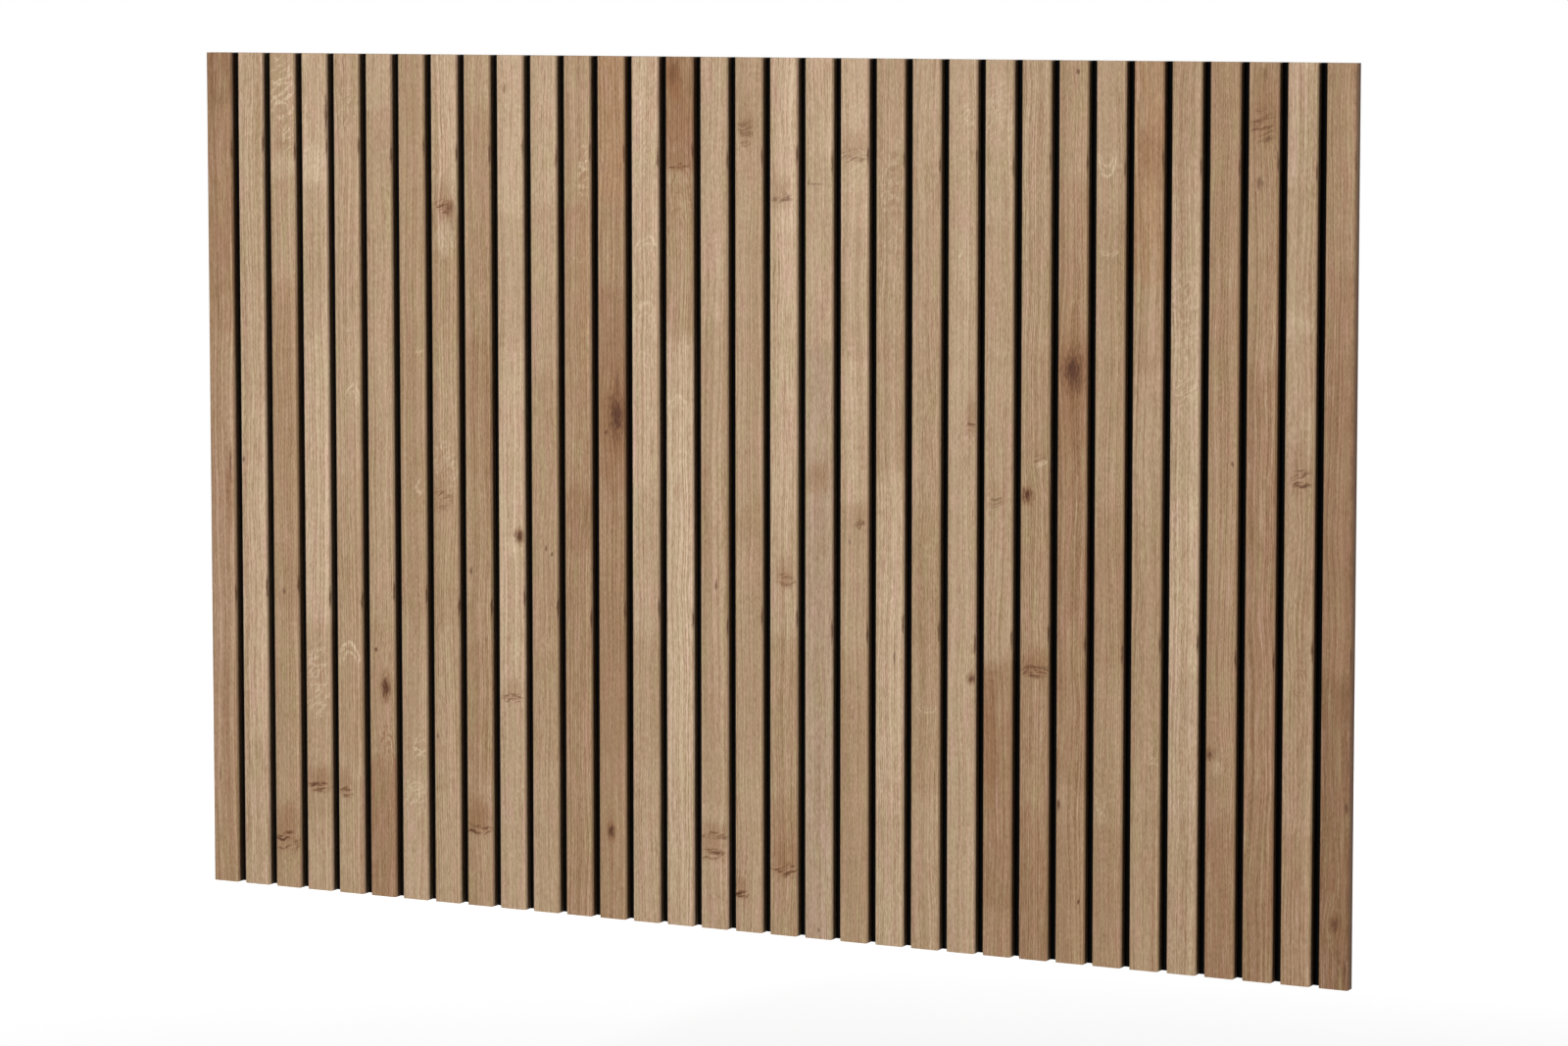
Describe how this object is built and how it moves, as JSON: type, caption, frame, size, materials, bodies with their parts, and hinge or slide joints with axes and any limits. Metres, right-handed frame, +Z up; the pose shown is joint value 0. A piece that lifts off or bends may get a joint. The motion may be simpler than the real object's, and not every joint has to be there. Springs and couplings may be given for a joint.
{
  "type": "slatted wall headboard",
  "caption": "Wall-hung headboard of upright oak-look slats on a black backing board, hooked on a bevelled wall cleat.",
  "frame": {"origin": "on the wall plane, at the middle of the wall cleat's row of screw holes", "axes": "+Z up, -Y out of the wall towards the room, +X along the headboard's width"},
  "size_m": [1.31, 0.032, 0.9],
  "materials": {
    "oak_light": "matte",
    "oak_warm": "matte",
    "oak_brown": "matte",
    "black_board": "matte",
    "plywood": "matte",
    "zinc_steel": "satin",
    "pad_rubber": "matte"
  },
  "bodies": {
    "wall_cleat": {"wall_cleat": "plywood"},
    "headboard": {"slat_01": "oak_warm", "slat_02": "oak_light", "slat_03": "oak_light", "slat_04": "oak_warm", "slat_05": "oak_light", "slat_06": "oak_brown", "slat_07": "oak_warm", "slat_08": "oak_warm", "slat_09": "oak_warm", "slat_10": "oak_warm", "slat_11": "oak_light", "slat_12": "oak_brown", "slat_13": "oak_brown", "slat_14": "oak_light", "slat_15": "oak_brown", "slat_16": "oak_light", "slat_17": "oak_warm", "slat_18": "oak_brown", "slat_19": "oak_light", "slat_20": "oak_warm", "slat_21": "oak_light", "slat_22": "oak_warm", "slat_23": "oak_warm", "slat_24": "oak_brown", "slat_25": "oak_warm", "slat_26": "oak_brown", "slat_27": "oak_light", "slat_28": "oak_brown", "slat_29": "oak_light", "slat_30": "oak_light", "slat_31": "oak_brown", "slat_32": "oak_light", "slat_33": "oak_brown", "backing_board": "black_board", "hanging_cleat": "plywood", "middle_batten": "plywood", "lower_batten": "plywood", "cleat_screws": "zinc_steel", "middle_screws": "zinc_steel", "lower_screws": "zinc_steel", "wall_pads": "pad_rubber"}
  },
  "joints": [
    {"name": "lift_off", "type": "slide", "parent": "wall_cleat", "child": "headboard", "axis": [0, 0, 1], "range_m": [0, 0.015]}
  ]
}
